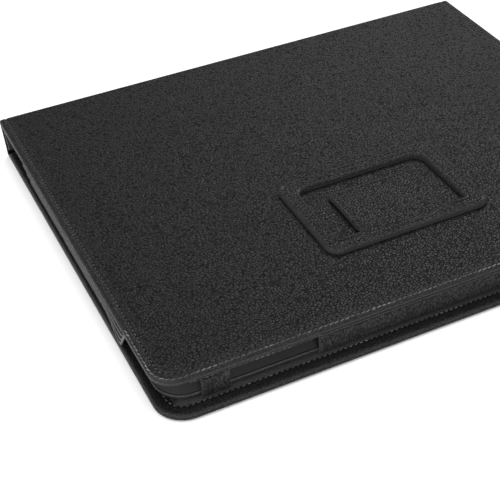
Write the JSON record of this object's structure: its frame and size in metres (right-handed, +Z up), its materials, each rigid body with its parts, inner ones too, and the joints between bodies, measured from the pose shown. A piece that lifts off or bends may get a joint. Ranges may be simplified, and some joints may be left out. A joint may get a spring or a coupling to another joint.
{
  "type": "tablet folio case",
  "caption": "Black leather folio for a tablet, closed on its cover, with a framed sleeve, button slot, strap, folding spine and a raised stand catch with a lifting tongue.",
  "frame": {"origin": "centre of the case's footprint, on the face of the front cover that it lies on", "axes": "+X along the fold, away from the open corner; +Y from the opening edge towards the fold; +Z up, out of the back panel"},
  "size_m": [0.252, 0.2053, 0.0198],
  "materials": {
    "outer_leather": "pebbled, matt",
    "wall_leather": "fine grain, matt",
    "lining": "brushed microfibre",
    "padding": "foam sheet",
    "stiffener": "pressed paper board"
  },
  "bodies": {
    "shell": {"back_skin": "outer_leather", "back_pad": "padding", "back_board": "stiffener", "back_lining": "lining", "near_wall": "wall_leather", "left_wall": "wall_leather", "far_wall": "wall_leather", "corner_strap": "wall_leather", "bezel_face": "wall_leather", "bezel_board": "stiffener", "bezel_lining": "lining", "catch_frame": "outer_leather", "catch_board": "stiffener"},
    "tongue": {"tongue_skin": "outer_leather", "tongue_board": "stiffener", "tongue_lining": "lining"},
    "spine": {"spine_skin": "outer_leather", "spine_lining": "lining"},
    "cover": {"cover_skin": "outer_leather", "cover_pad": "padding", "cover_board": "stiffener", "cover_lining": "lining"}
  },
  "joints": [
    {"name": "spine_fold", "type": "hinge", "parent": "shell", "child": "spine", "pos_m": [0, 0.10125, 0.0161], "axis": [1, 0, 0], "range_deg": [0, 180]},
    {"name": "cover_fold", "type": "hinge", "parent": "spine", "child": "cover", "pos_m": [0, 0.09595, 0.00155], "axis": [1, 0, 0], "range_deg": [0, 180]},
    {"name": "tongue_lift", "type": "hinge", "parent": "shell", "child": "tongue", "pos_m": [0, -0.05365, 0.0185], "axis": [1, 0, 0], "range_deg": [0, 16], "stiffness_Nm_per_rad": 0.005}
  ]
}
